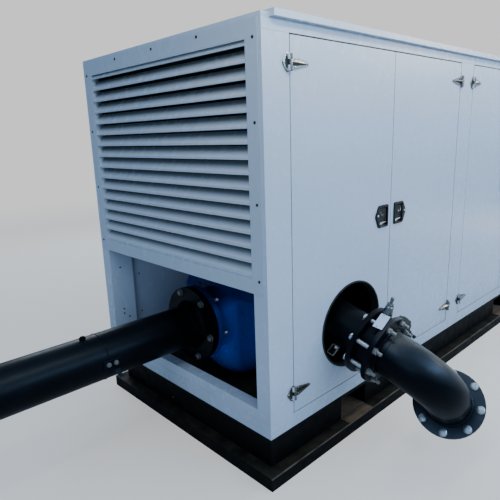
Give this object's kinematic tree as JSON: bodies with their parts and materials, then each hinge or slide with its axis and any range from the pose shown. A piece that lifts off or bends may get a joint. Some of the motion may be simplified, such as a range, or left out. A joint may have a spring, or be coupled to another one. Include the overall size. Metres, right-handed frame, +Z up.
{
  "type": "skid-mounted booster pump",
  "caption": "Pump in a white louvred housing with side doors on a black fork-lift skid, with a flanged suction line at one end and a valved discharge elbow through a door.",
  "frame": {"origin": "centre of the skid's footprint on the ground, on the underside of its middle cross member", "axes": "+X along the length, from the suction end to the closed end; +Y from the discharge side to the back; +Z up"},
  "size_m": [4.4333, 2.0156, 2.012],
  "materials": {
    "housing_white": "semi-gloss paint",
    "skid_black": "satin paint, dusty",
    "pipe_black": "satin paint",
    "pump_blue": "gloss paint",
    "gearbox_olive": "satin paint",
    "hinge_bright": "polished",
    "latch_black": "satin",
    "fitting_zinc": "zinc plated"
  },
  "bodies": {
    "unit": {"base_rail_front": "housing_white", "base_rail_back": "housing_white", "base_rail_near": "housing_white", "base_rail_far": "housing_white", "corner_post_front_near": "housing_white", "corner_post_front_far": "housing_white", "corner_post_back_near": "housing_white", "corner_post_back_far": "housing_white", "mullion_front": "housing_white", "mullion_back": "housing_white", "header_front": "housing_white", "header_back": "housing_white", "roof": "housing_white", "louvre_panel_near": "housing_white", "louvre_panel_far": "housing_white", "end_sill_near": "housing_white", "end_panel_far": "housing_white", "back_door_1": "housing_white", "back_door_2": "housing_white", "back_door_3": "housing_white", "back_door_4": "housing_white", "skid_side_rail_front": "skid_black", "skid_side_rail_back": "skid_black", "skid_end_beam_near": "skid_black", "skid_end_beam_far": "skid_black", "fork_pocket_near": "skid_black", "fork_pocket_far": "skid_black", "skid_deck": "skid_black", "skid_cross_member": "skid_black", "suction_spool": "pipe_black", "suction_pipe": "pipe_black", "discharge_spool_pipe": "pipe_black", "discharge_spool_flange_inner": "pipe_black", "discharge_spool_flange_outer": "pipe_black", "valve_body": "pipe_black", "discharge_elbow": "pipe_black", "pump_pedestal": "pipe_black", "pump_casing": "pump_blue", "discharge_nozzle": "pump_blue", "valve_gearbox": "gearbox_olive", "bleed_fitting": "fitting_zinc"},
    "door_leaf_1": {"door_1": "housing_white", "door_1_hinge_lower": "hinge_bright", "door_1_hinge_upper": "hinge_bright"},
    "latch_1": {"door_1_latch_paddle": "latch_black"},
    "door_leaf_2": {"door_2": "housing_white", "door_2_hinge_lower": "hinge_bright", "door_2_hinge_upper": "hinge_bright"},
    "latch_2": {"door_2_latch_paddle": "latch_black"},
    "door_leaf_3": {"door_3": "housing_white", "door_3_hinge_lower": "hinge_bright", "door_3_hinge_upper": "hinge_bright"},
    "latch_3": {"door_3_latch_paddle": "latch_black"},
    "door_leaf_4": {"door_4": "housing_white", "door_4_hinge_lower": "hinge_bright", "door_4_hinge_upper": "hinge_bright"},
    "latch_4": {"door_4_latch_paddle": "latch_black"}
  },
  "joints": [
    {"name": "door_1_swing", "type": "hinge", "parent": "unit", "child": "door_leaf_1", "pos_m": [-1.6065, -0.72, 1.136], "axis": [0, 0, -1], "range_deg": [0, 6]},
    {"name": "door_2_swing", "type": "hinge", "parent": "unit", "child": "door_leaf_2", "pos_m": [-0.085, -0.72, 1.136], "axis": [0, 0, 1], "range_deg": [0, 90]},
    {"name": "door_3_swing", "type": "hinge", "parent": "unit", "child": "door_leaf_3", "pos_m": [0.085, -0.72, 1.136], "axis": [0, 0, -1], "range_deg": [0, 90]},
    {"name": "door_4_swing", "type": "hinge", "parent": "unit", "child": "door_leaf_4", "pos_m": [1.6065, -0.72, 1.136], "axis": [0, 0, 1], "range_deg": [0, 110]},
    {"name": "door_1_latch_pull", "type": "hinge", "parent": "door_leaf_1", "child": "latch_1", "pos_m": [-0.903, -0.707, 1.1815], "axis": [-1, 0, 0], "range_deg": [0, 40], "stiffness_Nm_per_rad": 0.5},
    {"name": "door_2_latch_pull", "type": "hinge", "parent": "door_leaf_2", "child": "latch_2", "pos_m": [-0.755, -0.707, 1.1815], "axis": [-1, 0, 0], "range_deg": [0, 40], "stiffness_Nm_per_rad": 0.5},
    {"name": "door_3_latch_pull", "type": "hinge", "parent": "door_leaf_3", "child": "latch_3", "pos_m": [0.755, -0.707, 1.1815], "axis": [-1, 0, 0], "range_deg": [0, 40], "stiffness_Nm_per_rad": 0.5},
    {"name": "door_4_latch_pull", "type": "hinge", "parent": "door_leaf_4", "child": "latch_4", "pos_m": [0.903, -0.707, 1.1815], "axis": [-1, 0, 0], "range_deg": [0, 40], "stiffness_Nm_per_rad": 0.5}
  ]
}
